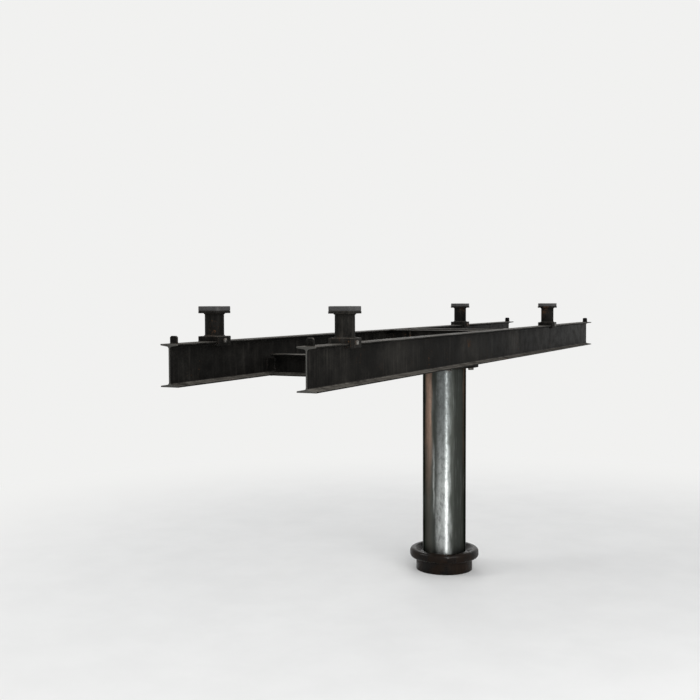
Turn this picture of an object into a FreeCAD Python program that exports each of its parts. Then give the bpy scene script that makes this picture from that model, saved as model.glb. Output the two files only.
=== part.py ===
import FreeCAD, Part
import os

import Sketcher
from FreeCAD import Placement, Rotation, Vector

# Single-post car wash lift, raised.
# X runs across the frame, Y along it from nose end to tail end, Z up.
# The origin is on the ground, on the axis of the ram.

# Driving dimensions in millimetres
SIZES = {
    # Ram, a hollow ground tube
    "ram_diameter": 256,
    "ram_wall": 12.5,
    "running_clearance": 0.3,
    # Cylinder neck, which stands out of the ground
    "neck_wall": 28,
    "neck_height": 72,
    "neck_bore_clearance": 3,
    # Gland ring on the neck, with a bevelled rim and a dished top
    "gland_overhang": 37,
    "gland_height": 55,
    "gland_bevel": 16,
    "dish_depth": 24,
    "dish_width": 32,
    # Guide bush and wiper around the ram
    "bush_wall": 10,
    "bush_shoulder_depth": 22,
    "wiper_wall": 12,
    "wiper_height": 14,
    "wiper_lip_height": 8,
    # Head of the ram
    "head_flange_reach": 72,
    "head_flange_thickness": 25,
    "head_bolt_distance": 37,
    "head_bolt_hole": 22,
    # Rolled steel beam section, with tapered flanges
    "beam_depth": 175,
    "flange_width": 85,
    "flange_thickness": 9,
    "flange_slope": 0.14,
    "web_thickness": 5.8,
    "root_radius": 10,
    "toe_radius": 4,
    # Frame
    "beam_length": 4600,
    "beam_spacing": 626,
    "beam_underside": 1253,
    "cross_beam_depth": 100,
    "cross_beam_end_distance": 770,
    # Saddle over the ram
    "saddle_beam_distance": 135,
    "saddle_plate_margin": 20,
    "saddle_plate_thickness": 20,
    "saddle_plate_round": 20,
    "stiffener_thickness": 8,
    "stiffener_distance": 150,
    "stiffener_inset": 2,
    "stiffener_corner": 18,
    # Stop lugs near the beams' ends
    "stop_height": 32,
    "stop_width": 32,
    "stop_thickness": 12,
    "stop_bevel": 6,
    "stop_end_distance": 35,
    # Pad adapters, which slide along the beams
    "nose_pad_end_distance": 330,
    "tail_pad_end_distance": 1155,
    "shoe_length": 100,
    "shoe_top_thickness": 22,
    "shoe_cheek_thickness": 7,
    "shoe_lip_thickness": 8,
    "shoe_lip_reach": 20,
    "shoe_side_clearance": 1,
    "shoe_lip_clearance": 2,
    "shoe_edge_bevel": 3,
    "post_diameter": 82.5,
    "post_height": 98,
    "head_plate_size": 110,
    "head_plate_thickness": 10,
    "head_plate_corner": 14,
    "rubber_size": 106,
    "rubber_thickness": 20,
    "rubber_corner": 12,
}

STEP_FOLDER = "parts"
TOLERANCE = 0.01

Y_AXIS = Vector(0, 1, 0)
Z_AXIS = Vector(0, 0, 1)


class Size:
    """A length that remembers its formula in the sheet."""

    def __init__(self, amount, formula):
        self.amount = amount
        self.formula = formula

    def __add__(self, other):
        return joined(self, "+", other, self.amount + amount(other))

    def __radd__(self, other):
        return joined(other, "+", self, amount(other) + self.amount)

    def __sub__(self, other):
        return joined(self, "-", other, self.amount - amount(other))

    def __rsub__(self, other):
        return joined(other, "-", self, amount(other) - self.amount)

    def __mul__(self, other):
        return joined(self, "*", other, self.amount * amount(other))

    def __rmul__(self, other):
        return joined(other, "*", self, amount(other) * self.amount)

    def __truediv__(self, other):
        return joined(self, "/", other, self.amount / amount(other))

    def __neg__(self):
        return -1 * self


def amount(length):
    """The plain number of a size or a number."""
    return length.amount if isinstance(length, Size) else length


def formula(length):
    """The sheet formula of a size or a number."""
    return length.formula if isinstance(length, Size) else str(length)


def joined(left, sign, right, result):
    """The size that two others make."""
    return Size(result, f"({formula(left)} {sign} {formula(right)})")


def size(word):
    """The driving dimension of that name."""
    return Size(SIZES[word], f"Sizes.{word}")


def make_sheet(doc):
    """The spreadsheet of driving dimensions."""
    sheet = doc.addObject("Spreadsheet::Sheet", "Sizes")
    for row, (word, number) in enumerate(SIZES.items(), start=1):
        sheet.set(f"A{row}", word)
        sheet.set(f"B{row}", str(number))
        sheet.setAlias(f"B{row}", word)
    doc.recompute()


def make_body(doc, label):
    """An empty body whose label names its file."""
    body = doc.addObject("PartDesign::Body", label)
    body.Label = label
    return body


def set_size(thing, path, length):
    """Binds one property to the sheet."""
    thing.setExpression(path, formula(length))


def place(body, x=0, y=0, z=0, turn=0):
    """Sets a body in the lift, turned about the vertical."""
    upright = Rotation(Z_AXIS, turn)
    body.Placement = Placement(Vector(amount(x), amount(y), amount(z)), upright)
    for axis, length in (("x", x), ("y", y), ("z", z)):
        if isinstance(length, Size):
            set_size(body, f".Placement.Base.{axis}", length)


def origin_plane(body, role):
    """One of the body's own origin planes."""
    return next(part for part in body.Origin.OriginFeatures if part.Role == role)


def new_sketch(body, name, role):
    """An empty sketch on an origin plane of the body."""
    sketch = body.newObject("Sketcher::SketchObject", name)
    sketch.AttachmentSupport = [(origin_plane(body, role), "")]
    sketch.MapMode = "FlatFace"
    return sketch


def hold(sketch, kind, line, point, length):
    """Fixes one point of a sketch along one of its axes."""
    if amount(length) == 0:
        # The sketch's own axes are numbered -1 across and -2 up
        axis = -2 if kind == "DistanceX" else -1
        sketch.addConstraint(Sketcher.Constraint("PointOnObject", line, point, axis))
        return
    number = sketch.addConstraint(Sketcher.Constraint(kind, -1, 1, line, point, amount(length)))
    if isinstance(length, Size):
        set_size(sketch, f"Constraints[{number}]", length)


def draw_outline(sketch, corners):
    """A closed outline of straight lines through the corners."""
    points = [Vector(amount(across), amount(up), 0) for across, up in corners]
    for start, end in zip(points, points[1:] + points[:1]):
        sketch.addGeometry(Part.LineSegment(start, end), False)
    for index in range(len(points)):
        following = (index + 1) % len(points)
        sketch.addConstraint(Sketcher.Constraint("Coincident", index, 2, following, 1))
    for index, (across, up) in enumerate(corners):
        hold(sketch, "DistanceX", index, 1, across)
        hold(sketch, "DistanceY", index, 1, up)


def draw_circle(sketch, radius, across=0, up=0):
    """A circle of a given radius about a point of the sketch."""
    centre = Vector(amount(across), amount(up), 0)
    circle = sketch.addGeometry(Part.Circle(centre, Z_AXIS, amount(radius)), False)
    hold(sketch, "DistanceX", circle, 3, across)
    hold(sketch, "DistanceY", circle, 3, up)
    number = sketch.addConstraint(Sketcher.Constraint("Radius", circle, amount(radius)))
    set_size(sketch, f"Constraints[{number}]", radius)


def block_corners(width, height):
    """The corners of a rectangle centred on the sketch's origin."""
    return [
        (width / -2, height / -2),
        (width / 2, height / -2),
        (width / 2, height / 2),
        (width / -2, height / 2),
    ]


def revolve(body, name, corners):
    """A ring, from its half section to the right of the vertical axis."""
    sketch = new_sketch(body, f"{name}_section", "XZ_Plane")
    draw_outline(sketch, corners)
    ring = body.newObject("PartDesign::Revolution", name)
    ring.Profile = sketch
    ring.ReferenceAxis = (sketch, ["V_Axis"])
    ring.Angle = 360
    body.Document.recompute()
    return ring


def pad(body, name, sketch, length, both_ways=False):
    """A sketch drawn out to a length, upwards or evenly to both sides."""
    block = body.newObject("PartDesign::Pad", name)
    block.Profile = sketch
    block.SideType = "Symmetric" if both_ways else "One side"
    set_size(block, "Length", length)
    body.Document.recompute()
    return block


def pocket_through(body, name, sketch):
    """A cut of the sketch right through the body, checked to take metal away."""
    before = body.Shape.Volume
    cut = body.newObject("PartDesign::Pocket", name)
    cut.Profile = sketch
    cut.Type = "ThroughAll"
    cut.SideType = "Symmetric"
    body.Document.recompute()
    if body.Shape.Volume >= before:
        raise RuntimeError(f"{name} cuts nothing")
    return cut


def dress_edges(body, name, base, kind, path, length, wanted):
    """A fillet or chamfer on the edges of a feature that a test picks."""
    edges = [f"Edge{number}" for number, edge in enumerate(base.Shape.Edges, start=1) if wanted(edge)]
    if not edges:
        raise RuntimeError(f"{name} finds no edge")
    dressed = body.newObject(kind, name)
    dressed.Base = (base, edges)
    set_size(dressed, path, length)
    body.Document.recompute()
    return dressed


def round_edges(body, name, base, radius, wanted):
    """Rounds the edges that a test picks."""
    return dress_edges(body, name, base, "PartDesign::Fillet", "Radius", radius, wanted)


def bevel_edges(body, name, base, width, wanted):
    """Bevels the edges that a test picks."""
    return dress_edges(body, name, base, "PartDesign::Chamfer", "Size", width, wanted)


def near(first, second):
    """Whether two lengths agree."""
    return abs(first - amount(second)) < TOLERANCE


def is_line_along(edge, axis):
    """Whether an edge is straight and runs along an axis."""
    if edge.Curve.TypeId != "Part::GeomLine":
        return False
    return edge.Curve.Direction.cross(axis).Length < TOLERANCE


# Cylinder neck and gland

RAM_RADIUS = size("ram_diameter") / 2
BUSH_BORE = RAM_RADIUS + size("running_clearance")
BUSH_OUTSIDE = BUSH_BORE + size("bush_wall")
BUSH_HOUSING = BUSH_OUTSIDE + size("running_clearance")
NECK_BORE = RAM_RADIUS + size("neck_bore_clearance")
NECK_OUTSIDE = BUSH_HOUSING + size("neck_wall")
BUSH_SEAT = size("neck_height") - size("bush_shoulder_depth")
GLAND_TOP = size("neck_height") + size("gland_height")
DISH_BOTTOM = GLAND_TOP - size("dish_depth")
WIPER_SEAT = DISH_BOTTOM - size("wiper_height")


def make_cylinder_neck(doc):
    """The top of the cylinder, counterbored for the guide bush."""
    body = make_body(doc, "cylinder_neck")
    top = size("neck_height")
    revolve(body, "neck_ring", [
        (NECK_BORE, 0),
        (NECK_OUTSIDE, 0),
        (NECK_OUTSIDE, top),
        (BUSH_HOUSING, top),
        (BUSH_HOUSING, BUSH_SEAT),
        (NECK_BORE, BUSH_SEAT),
    ])
    return body


def make_gland_ring(doc):
    """The thick ring with a bevelled rim and a top dished towards the ram."""
    body = make_body(doc, "gland_ring")
    height = size("gland_height")
    bevel = size("gland_bevel")
    rim = NECK_OUTSIDE + size("gland_overhang")
    wiper_housing = RAM_RADIUS + size("running_clearance") + size("wiper_wall")
    wiper_seat = WIPER_SEAT - size("neck_height")
    revolve(body, "gland_body", [
        (BUSH_HOUSING, 0),
        (rim - bevel, 0),
        (rim, bevel),
        (rim, height - bevel),
        (rim - bevel, height),
        (wiper_housing + size("dish_width"), height),
        (wiper_housing, height - size("dish_depth")),
        (wiper_housing, wiper_seat),
        (BUSH_HOUSING, wiper_seat),
    ])
    place(body, z=size("neck_height"))
    return body


def make_guide_bush(doc):
    """The bush that the ram slides in, which turns with it in the gland."""
    body = make_body(doc, "guide_bush")
    top = WIPER_SEAT - BUSH_SEAT
    revolve(body, "bush_ring", [
        (BUSH_BORE, 0),
        (BUSH_OUTSIDE, 0),
        (BUSH_OUTSIDE, top),
        (BUSH_BORE, top),
    ])
    place(body, z=BUSH_SEAT)
    return body


def make_wiper_ring(doc):
    """The rubber wiper at the foot of the dish, which rises towards the ram."""
    body = make_body(doc, "wiper_ring")
    inside = RAM_RADIUS + size("running_clearance")
    outside = inside + size("wiper_wall")
    shoulder = size("wiper_height")
    revolve(body, "wiper_section", [
        (inside, 0),
        (outside, 0),
        (outside, shoulder),
        (inside, shoulder + size("wiper_lip_height")),
    ])
    place(body, z=WIPER_SEAT)
    return body


# Ram and its head

PLATE_UNDERSIDE = size("beam_underside") - size("saddle_plate_thickness")
HEAD_FLANGE_UNDERSIDE = PLATE_UNDERSIDE - size("head_flange_thickness")
HEAD_FLANGE_RADIUS = RAM_RADIUS + size("head_flange_reach")
HEAD_BOLTS = 6


def make_ram_tube(doc):
    """The ram, from the ground to the underside of its head flange."""
    body = make_body(doc, "ram_tube")
    sketch = new_sketch(body, "ram_section", "XY_Plane")
    draw_circle(sketch, RAM_RADIUS)
    draw_circle(sketch, RAM_RADIUS - size("ram_wall"))
    pad(body, "ram_wall_tube", sketch, HEAD_FLANGE_UNDERSIDE)
    return body


def drill_bolt_circle(body, name):
    """Holes for the head bolts, evenly spaced about the ram's axis."""
    sketch = new_sketch(body, f"{name}_first", "XY_Plane")
    draw_circle(sketch, size("head_bolt_hole") / 2, RAM_RADIUS + size("head_bolt_distance"))
    hole = pocket_through(body, f"{name}_hole", sketch)
    ring = body.newObject("PartDesign::PolarPattern", name)
    ring.Originals = [hole]
    ring.Axis = (sketch, ["N_Axis"])
    ring.Angle = 360
    ring.Occurrences = HEAD_BOLTS
    body.Tip = ring
    body.Document.recompute()


def make_head_flange(doc):
    """The round flange welded to the top of the ram."""
    body = make_body(doc, "ram_head_flange")
    sketch = new_sketch(body, "flange_outline", "XY_Plane")
    draw_circle(sketch, HEAD_FLANGE_RADIUS)
    pad(body, "flange_disc", sketch, size("head_flange_thickness"))
    drill_bolt_circle(body, "flange_bolt_circle")
    place(body, z=HEAD_FLANGE_UNDERSIDE)
    return body


# Rolled beams

HALF_WEB = size("web_thickness") / 2
HALF_FLANGE = size("flange_width") / 2
HALF_DEPTH = size("beam_depth") / 2


def flange_inside(across, half_depth=HALF_DEPTH):
    """Height of a flange's tapered inner face, which has its set thickness at the quarter point."""
    quarter_point = size("flange_width") / 4
    return half_depth - size("flange_thickness") - (quarter_point - across) * size("flange_slope")


def draw_beam_section(sketch, half_depth):
    """The section of a rolled beam with tapered flanges, before its rounds."""
    tip = flange_inside(HALF_FLANGE, half_depth)
    root = flange_inside(HALF_WEB, half_depth)
    draw_outline(sketch, [
        (-HALF_FLANGE, -half_depth),
        (HALF_FLANGE, -half_depth),
        (HALF_FLANGE, -tip),
        (HALF_WEB, -root),
        (HALF_WEB, root),
        (HALF_FLANGE, tip),
        (HALF_FLANGE, half_depth),
        (-HALF_FLANGE, half_depth),
        (-HALF_FLANGE, tip),
        (-HALF_WEB, root),
        (-HALF_WEB, -root),
        (-HALF_FLANGE, -tip),
    ])


def roll_beam(body, length, half_depth):
    """A rolled beam along Y, centred on the body's origin, with its root and toe rounds."""
    sketch = new_sketch(body, "beam_section", "XZ_Plane")
    draw_beam_section(sketch, half_depth)
    bar = pad(body, "beam_bar", sketch, length, both_ways=True)
    tip = amount(flange_inside(HALF_FLANGE, half_depth))
    root = amount(flange_inside(HALF_WEB, half_depth))

    def at_root(edge):
        middle = edge.CenterOfMass
        return is_line_along(edge, Y_AXIS) and near(abs(middle.x), HALF_WEB) and near(abs(middle.z), root)

    def at_toe(edge):
        middle = edge.CenterOfMass
        return is_line_along(edge, Y_AXIS) and near(abs(middle.x), HALF_FLANGE) and near(abs(middle.z), tip)

    rooted = round_edges(body, "root_rounds", bar, size("root_radius"), at_root)
    return round_edges(body, "toe_rounds", rooted, size("toe_radius"), at_toe)


BEAM_MIDDLE = size("beam_underside") + HALF_DEPTH
BEAM_TOP = size("beam_underside") + size("beam_depth")
BEAM_SIDE = size("beam_spacing") / 2


def make_long_beam(doc, side, place_across):
    """One of the two long beams that carry the pads."""
    body = make_body(doc, f"{side}_beam")
    roll_beam(body, size("beam_length"), HALF_DEPTH)
    place(body, x=place_across, z=BEAM_MIDDLE)
    return body


def make_cross_beam(doc, label, place_along, half_depth):
    """A beam between the long ones, flush with them below and coped so that only its web reaches them."""
    body = make_body(doc, label)
    roll_beam(body, size("beam_spacing") - size("flange_width"), half_depth)
    cope_height = 2 * flange_inside(HALF_WEB, half_depth) - 2 * size("root_radius")
    sketch = new_sketch(body, "coped_web", "XZ_Plane")
    draw_outline(sketch, block_corners(size("web_thickness"), cope_height))
    pad(body, "web_ends", sketch, size("beam_spacing") - size("web_thickness"), both_ways=True)
    place(body, y=place_along, z=size("beam_underside") + half_depth, turn=90)
    return body


# Saddle

def make_saddle_plate(doc):
    """The plate under the saddle beams, bolted to the ram's head flange."""
    body = make_body(doc, "saddle_plate")
    sketch = new_sketch(body, "plate_outline", "XY_Plane")
    plate_size = 2 * (HEAD_FLANGE_RADIUS + size("saddle_plate_margin"))
    draw_outline(sketch, block_corners(plate_size, plate_size))
    plate = pad(body, "plate", sketch, size("saddle_plate_thickness"))
    round_edges(body, "plate_corners", plate, size("saddle_plate_round"),
                lambda edge: is_line_along(edge, Z_AXIS))
    drill_bolt_circle(body, "plate_bolt_circle")
    place(body, z=PLATE_UNDERSIDE)
    return body


def make_stiffener(doc, label, place_across, place_along, outwards):
    """A plate between a saddle beam's flanges, tapered with them and clear of the root rounds."""
    body = make_body(doc, label)
    inner = HALF_WEB
    outer = HALF_FLANGE - size("stiffener_inset") - size("toe_radius")
    corner = size("stiffener_corner")
    cut_end = inner + corner
    sketch = new_sketch(body, "stiffener_outline", "YZ_Plane")
    draw_outline(sketch, [
        (inner, -(flange_inside(inner) - corner)),
        (cut_end, -flange_inside(cut_end)),
        (outer, -flange_inside(outer)),
        (outer, flange_inside(outer)),
        (cut_end, flange_inside(cut_end)),
        (inner, flange_inside(inner) - corner),
    ])
    pad(body, "stiffener_plate", sketch, size("stiffener_thickness"), both_ways=True)
    place(body, x=place_across, y=place_along, z=BEAM_MIDDLE, turn=0 if outwards > 0 else 180)
    return body


# Stop lugs

def make_stop_lug(doc, label, place_across, place_along):
    """A lug with bevelled shoulders, welded on a beam's top flange near its end."""
    body = make_body(doc, label)
    width = size("stop_width")
    height = size("stop_height")
    sketch = new_sketch(body, "lug_outline", "XZ_Plane")
    bevel = size("stop_bevel")
    draw_outline(sketch, [
        (width / -2, 0),
        (width / 2, 0),
        (width / 2, height - bevel),
        (width / 2 - bevel, height),
        (bevel - width / 2, height),
        (width / -2, height - bevel),
    ])
    pad(body, "lug", sketch, size("stop_thickness"), both_ways=True)
    place(body, x=place_across, y=place_along, z=BEAM_TOP)
    return body


# Pad adapters

SHOE_TOP = size("shoe_top_thickness")
POST_TOP = SHOE_TOP + size("post_height")
RUBBER_SEAT = POST_TOP + size("head_plate_thickness")


def make_shoe(doc, label, across, along):
    """The shoe that lies on a beam's top flange and hooks under both of its edges."""
    body = make_body(doc, label)
    cheek_inside = HALF_FLANGE + size("shoe_side_clearance")
    cheek_outside = cheek_inside + size("shoe_cheek_thickness")
    lip_end = cheek_inside - size("shoe_lip_reach")
    flange_at_lip_end = HALF_DEPTH - flange_inside(lip_end)
    lip_top = -(flange_at_lip_end + size("shoe_lip_clearance"))
    lip_bottom = lip_top - size("shoe_lip_thickness")
    sketch = new_sketch(body, "shoe_section", "XZ_Plane")
    draw_outline(sketch, [
        (-cheek_outside, lip_bottom),
        (-lip_end, lip_bottom),
        (-lip_end, lip_top),
        (-cheek_inside, lip_top),
        (-cheek_inside, 0),
        (cheek_inside, 0),
        (cheek_inside, lip_top),
        (lip_end, lip_top),
        (lip_end, lip_bottom),
        (cheek_outside, lip_bottom),
        (cheek_outside, SHOE_TOP),
        (-cheek_outside, SHOE_TOP),
    ])
    bar = pad(body, "shoe_bar", sketch, size("shoe_length"), both_ways=True)
    bevel_edges(body, "shoe_edges", bar, size("shoe_edge_bevel"),
                lambda edge: is_line_along(edge, Y_AXIS) and near(abs(edge.CenterOfMass.x), cheek_outside))
    place(body, x=across, y=along, z=BEAM_TOP)
    return body


def make_post(doc, label, across, along):
    """The round post that stands on a shoe."""
    body = make_body(doc, label)
    sketch = new_sketch(body, "post_section", "XY_Plane")
    draw_circle(sketch, size("post_diameter") / 2)
    pad(body, "post", sketch, size("post_height"))
    place(body, x=across, y=along, z=BEAM_TOP + SHOE_TOP)
    return body


def make_square_plate(doc, label, width, thickness, corner):
    """A square plate with its corners cut off."""
    body = make_body(doc, label)
    sketch = new_sketch(body, "plate_outline", "XY_Plane")
    draw_outline(sketch, block_corners(width, width))
    plate = pad(body, "plate", sketch, thickness)
    bevel_edges(body, "plate_corners", plate, corner, lambda edge: is_line_along(edge, Z_AXIS))
    return body


def make_head_plate(doc, label, across, along):
    """The steel plate on top of a post."""
    body = make_square_plate(doc, label, size("head_plate_size"),
                             size("head_plate_thickness"), size("head_plate_corner"))
    place(body, x=across, y=along, z=BEAM_TOP + POST_TOP)
    return body


def make_rubber(doc, label, across, along):
    """The rubber block that takes the load."""
    body = make_square_plate(doc, label, size("rubber_size"),
                             size("rubber_thickness"), size("rubber_corner"))
    place(body, x=across, y=along, z=BEAM_TOP + RUBBER_SEAT)
    return body


SIDES = {"right": -BEAM_SIDE, "left": BEAM_SIDE}
ENDS = {"nose": -1, "tail": 1}
HALF_LENGTH = size("beam_length") / 2
CROSS_BEAM_DISTANCE = HALF_LENGTH - size("cross_beam_end_distance")
PAD_PLACES = {
    "nose": size("nose_pad_end_distance") - HALF_LENGTH,
    "tail": HALF_LENGTH - size("tail_pad_end_distance"),
}


def make_lift(doc):
    """All the pieces of the lift, in the order of their stacking."""
    pieces = [
        make_cylinder_neck(doc),
        make_gland_ring(doc),
        make_guide_bush(doc),
        make_wiper_ring(doc),
        make_ram_tube(doc),
        make_head_flange(doc),
        make_saddle_plate(doc),
    ]
    for side, across in SIDES.items():
        pieces.append(make_long_beam(doc, side, across))
    for end, sign in ENDS.items():
        pieces.append(make_cross_beam(doc, f"{end}_cross_beam", sign * CROSS_BEAM_DISTANCE,
                                      size("cross_beam_depth") / 2))
        pieces.append(make_cross_beam(doc, f"{end}_saddle_beam", sign * size("saddle_beam_distance"),
                                      HALF_DEPTH))
    for end, sign in ENDS.items():
        for side, across in SIDES.items():
            stiffener_across = size("stiffener_distance") * (1 if side == "left" else -1)
            pieces.append(make_stiffener(doc, f"{end}_{side}_stiffener", stiffener_across,
                                         sign * size("saddle_beam_distance"), sign))
            stop_along = sign * (HALF_LENGTH - size("stop_end_distance"))
            pieces.append(make_stop_lug(doc, f"{end}_{side}_stop", across, stop_along))
            adapter = f"{end}_{side}_pad"
            along = PAD_PLACES[end]
            pieces.append(make_shoe(doc, f"{adapter}_shoe", across, along))
            pieces.append(make_post(doc, f"{adapter}_post", across, along))
            pieces.append(make_head_plate(doc, f"{adapter}_head_plate", across, along))
            pieces.append(make_rubber(doc, f"{adapter}_rubber", across, along))
    return pieces


def check_document(doc, pieces):
    """Stops on a failed feature or a bad solid."""
    for thing in doc.Objects:
        if "Invalid" in thing.State or "Error" in thing.State:
            raise RuntimeError(f"{thing.Label} failed: {thing.State}")
    for piece in pieces:
        if piece.Shape.isNull() or not piece.Shape.isValid() or len(piece.Shape.Solids) != 1:
            raise RuntimeError(f"{piece.Label} is not one valid solid")


def main():
    """Builds the lift and writes each piece to its own file."""
    doc = FreeCAD.newDocument("car_wash_lift")
    make_sheet(doc)
    pieces = make_lift(doc)
    doc.recompute()
    check_document(doc, pieces)
    os.makedirs(STEP_FOLDER, exist_ok=True)
    for piece in pieces:
        piece.Shape.exportStep(os.path.join(STEP_FOLDER, f"{piece.Label}.step"))


main()
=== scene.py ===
from functools import partial, reduce

import bmesh
import bpy
import numpy as np
from bpy.props import FloatProperty, FloatVectorProperty, PointerProperty
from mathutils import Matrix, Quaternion, Vector


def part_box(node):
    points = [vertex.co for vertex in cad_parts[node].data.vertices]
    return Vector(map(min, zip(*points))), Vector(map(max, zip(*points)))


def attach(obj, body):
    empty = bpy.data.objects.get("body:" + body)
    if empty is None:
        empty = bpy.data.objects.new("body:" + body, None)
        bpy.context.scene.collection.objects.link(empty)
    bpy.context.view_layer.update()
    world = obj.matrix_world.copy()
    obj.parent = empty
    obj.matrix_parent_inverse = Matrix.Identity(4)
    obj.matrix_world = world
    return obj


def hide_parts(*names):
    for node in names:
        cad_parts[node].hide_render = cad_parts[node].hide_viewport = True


# Single-post wash lift: its surfaces, fasteners, welds, rubber and finishes round the fixed frame.
# Lengths are in metres. X runs across the frame, Y from the nose end to the tail end, Z up.

bl_info = {
    "name": "Wash Lift",
    "version": (1, 0, 0),
    "blender": (4, 5, 0),
    "location": "View3D > Sidebar > Wash Lift",
    "description": "Dresses a single-post wash lift with its surfaces, welds, screws, rubber and finishes",
    "category": "Object",
}

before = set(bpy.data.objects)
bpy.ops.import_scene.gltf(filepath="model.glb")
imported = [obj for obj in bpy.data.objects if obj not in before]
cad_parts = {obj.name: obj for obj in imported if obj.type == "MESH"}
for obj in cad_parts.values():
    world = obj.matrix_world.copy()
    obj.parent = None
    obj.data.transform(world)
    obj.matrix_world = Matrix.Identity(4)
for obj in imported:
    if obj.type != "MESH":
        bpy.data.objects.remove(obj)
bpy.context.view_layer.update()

TAU = 2 * np.pi
ACROSS, ALONG, UP = np.eye(3)
ENDS = ("nose", "tail")
SIDES = ("right", "left")
PADS = [f"{end}_{side}_pad" for end in ENDS for side in SIDES]


class Box:
    """A node's box at rest: its corners, size, middle and the middle of its underside."""

    def __init__(self, node):
        """Reads the corners from the frame."""
        self.low, self.high = (np.array(corner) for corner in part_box(node))
        self.size = self.high - self.low
        self.middle = (self.low + self.high) / 2
        self.foot = self.middle * (1, 1, 0) + UP * self.low[2]

    def faces(self, axis):
        """The places of both faces across an axis, each with the way that it looks."""
        return (self.low[axis], -1), (self.high[axis], 1)

    def reach(self, way):
        """The step from the middle to the face that a way points at."""
        return way * self.size / 2


LONG_BEAM = Box("left_beam")
BEAM_TOP = LONG_BEAM.high[2]
RAM_RADIUS = Box("ram_tube").high[0]

# The rolled section, as the frame has it
FLANGE_HALF = LONG_BEAM.size[0] / 2
FLANGE_THICKNESS = 0.009
FLANGE_SLOPE = 0.14
WEB_HALF = 0.0029


def flange_inside(across, depth):
    """Height of a flange's tapered inner face above the middle of a beam of some depth."""
    return depth / 2 - FLANGE_THICKNESS - (FLANGE_HALF / 2 - across) * FLANGE_SLOPE


def cope_height(depth):
    """Half the height of the bare web at a cross-beam's ends, clear of the root rounds."""
    return flange_inside(WEB_HALF, depth) - sizes().root_round


# Sizes and colours that a user would change

def length(name, description, default):
    """A length in metres."""
    return FloatProperty(name=name, description=description, default=default, min=0, unit="LENGTH")


def colour(name, description, default):
    """An opaque colour."""
    return FloatVectorProperty(name=name, description=description, default=(*default, 1.0),
                               size=4, min=0, max=1, subtype="COLOR")


class LiftSizes(bpy.types.PropertyGroup):
    """Sizes of what the frame leaves open."""

    edge_round: length("Edge round", "Radius of the broken edges of plates and beams", 0.0012)
    root_round: length("Root round", "Radius between a beam's web and its flanges", 0.010)
    toe_round: length("Toe round", "Radius at the toe of a beam's flange", 0.004)
    dish_width: length("Dish width", "Width of the slope inside the gland's top", 0.032)
    dish_depth: length("Dish depth", "Depth of the slope inside the gland's top", 0.024)
    rim_round: length("Rim round", "Radius of the gland ring's rim, above and below", 0.019)
    weld_pitch: length("Weld pitch", "Distance from ripple to ripple of a weld", 0.0045)
    head_weld: length("Head weld", "Leg of the weld between ram and head flange", 0.010)
    plate_weld: length("Plate weld", "Leg of the welds on plates and webs", 0.005)
    stop_weld: length("Stop weld", "Leg of the welds round the stop lugs", 0.0035)
    butt_weld: length("Butt weld", "Half width of the welds across the flanges", 0.006)
    bolt_width: length("Bolt width", "Width across flats of the head bolts", 0.030)
    bolt_height: length("Bolt height", "Height of a head bolt's head", 0.0125)
    screw_width: length("Screw width", "Width across flats of the cheek screws", 0.018)
    screw_height: length("Screw height", "Height of a cheek screw's head", 0.0075)
    stud_pitch: length("Stud pitch", "Distance from stud to stud on the rubber pads", 0.0135)
    groove_depth: length("Groove depth", "Depth of the grooves between the studs", 0.003)


class LiftColours(bpy.types.PropertyGroup):
    """Colours of the finishes."""

    paint: colour("Paint", "Black paint of the frame", (0.0032, 0.0031, 0.0029))
    faded: colour("Faded paint", "The same paint where it has chalked", (0.0072, 0.0070, 0.0064))
    bare_steel: colour("Bare steel", "Steel where the paint is rubbed off", (0.17, 0.165, 0.155))
    worn_paint: colour("Worn paint", "Thin grey paint on the beams' sawn ends", (0.062, 0.061, 0.056))
    dark_rust: colour("Dark rust", "Old rust", (0.022, 0.012, 0.0075))
    light_rust: colour("Light rust", "Fresh rust", (0.060, 0.031, 0.016))
    dust: colour("Dust", "Dried spray and dust", (0.19, 0.175, 0.153))
    # The next two colours paint shade: the ram's steel is lighter at its foot and darkens upwards, in place
    # of the shade that falls over its upper part.
    ram_steel: colour("Ram steel", "Steel of the ram where the wiper keeps it bright", (0.55, 0.575, 0.565))
    painted_shade_steel: colour("Painted shade steel", "Steel of the ram higher up", (0.20, 0.215, 0.215))
    # Painted reflection: this dark colour covers most of the ram in place of the dark surroundings that its
    # steel mirrors.
    painted_dark_reflection: colour("Painted dark reflection", "Blackened oil that covers much of the ram", (0.050, 0.054, 0.048))
    # Painted reflection: this brown colour lies in upright bands on the ram in place of brown surroundings
    # mirrored in its steel.
    painted_brown_reflection: colour("Painted brown reflection", "Browned oil in bands on the ram", (0.24, 0.160, 0.120))
    collar: colour("Collar", "Greasy paint of the collar", (0.0026, 0.0022, 0.0018))
    grease: colour("Grease", "Brown grease on the collar", (0.0135, 0.0080, 0.0050))
    bronze: colour("Bronze", "Metal of the guide bush", (0.36, 0.21, 0.09))
    rubber: colour("Rubber", "Rubber of the pads and the wiper", (0.017, 0.017, 0.018))
    zinc: colour("Zinc", "Dull plating of bolts and screws", (0.22, 0.215, 0.20))
    floor: colour("Floor", "Floor of the studio", (0.80, 0.795, 0.78))
    backdrop: colour("Backdrop", "Background of the studio", (0.88, 0.88, 0.87))


def sizes():
    """The sizes in use."""
    return bpy.context.scene.lift_sizes


def shade(name):
    """One of the colours in use."""
    return tuple(getattr(bpy.context.scene.lift_colours, name))


# Surfaces

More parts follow.
